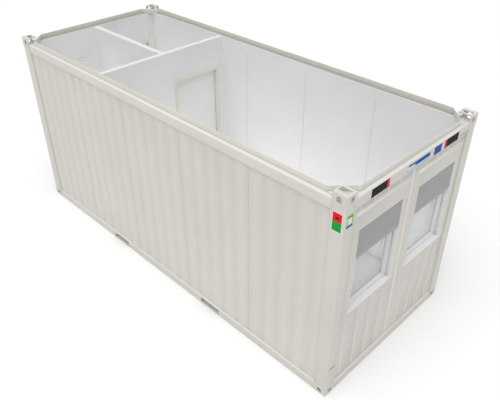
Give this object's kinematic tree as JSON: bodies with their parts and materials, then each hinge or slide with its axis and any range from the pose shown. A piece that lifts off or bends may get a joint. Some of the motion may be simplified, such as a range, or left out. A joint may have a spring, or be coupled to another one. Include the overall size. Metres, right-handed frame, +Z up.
{
  "type": "portable site cabin",
  "caption": "Steel-framed portable site cabin with its roof off: ribbed walls, shuttered end windows, entrance door, vestibule and small room behind white partitions",
  "frame": {"origin": "middle of the footprint at ground level, under the corner castings", "axes": "+X towards the window end, along the cabin's length; -Y towards the front long side; +Z up"},
  "size_m": [6.055, 2.435, 2.8],
  "materials": {
    "cabin_paint": "satin grey-white paint on sheet steel",
    "edge_paint": "satin paint, slightly darker",
    "white_board": "smooth matt white lining board",
    "cream_trim": "satin cream paint",
    "white_pvc": "smooth white window plastic",
    "shutter_grey": "grey shutter slats",
    "pane": "clear insulating glass",
    "zinc": "galvanised steel",
    "deck_board": "sealed floor board",
    "handle_metal": "satin anodised",
    "dark_plate": "dark plate face"
  },
  "bodies": {
    "cabin": {"bottom_corner_castings": "cabin_paint", "side_bottom_rails": "cabin_paint", "end_bottom_rails": "cabin_paint", "forklift_pocket_sides": "zinc", "forklift_pocket_covers": "zinc", "floor_cross_members": "zinc", "floor_insulation": "zinc", "floor_deck": "deck_board", "corner_posts": "cabin_paint", "top_corner_castings": "cabin_paint", "side_top_rails": "cabin_paint", "end_top_rails": "cabin_paint", "roof_upstand": "edge_paint", "roof_corner_gussets": "cabin_paint", "front_wall": "cabin_paint", "back_wall": "cabin_paint", "window_end_wall": "cabin_paint", "door_end_wall_window_side": "cabin_paint", "door_end_wall_corner_side": "cabin_paint", "door_end_wall_over_door": "cabin_paint", "front_lining": "white_board", "back_lining": "white_board", "window_end_lining": "white_board", "door_end_lining": "white_board", "lining_joint_strips": "cream_trim", "window_casings": "white_pvc", "window_frames": "white_pvc", "window_panes": "pane", "shutter_curtains": "shutter_grey", "shutter_boxes": "white_pvc", "small_window_frame": "white_pvc", "small_window_trim": "white_pvc", "cross_partition_wide_side": "white_board", "cross_partition_corner_side": "white_board", "cross_partition_over_door": "white_board", "lengthwise_partition": "white_board", "entrance_door_frame": "cream_trim", "inner_door_frame": "cream_trim", "small_room_door_frame": "cream_trim", "small_room_door": "white_board", "rail_plates": "dark_plate"},
    "entrance_door": {"entrance_door": "white_board", "entrance_door_handles": "handle_metal"},
    "inner_door": {"inner_door": "white_board", "inner_door_handles": "handle_metal"}
  },
  "joints": [
    {"name": "entrance_door_hinge", "type": "hinge", "parent": "cabin", "child": "entrance_door", "pos_m": [-3.0005, 0.9825, 1.2], "axis": [0, 0, -1], "range_deg": [0, 110]},
    {"name": "inner_door_hinge", "type": "hinge", "parent": "cabin", "child": "inner_door", "pos_m": [-1.24, 0.9825, 1.2], "axis": [0, 0, -1], "range_deg": [0, 90]}
  ]
}
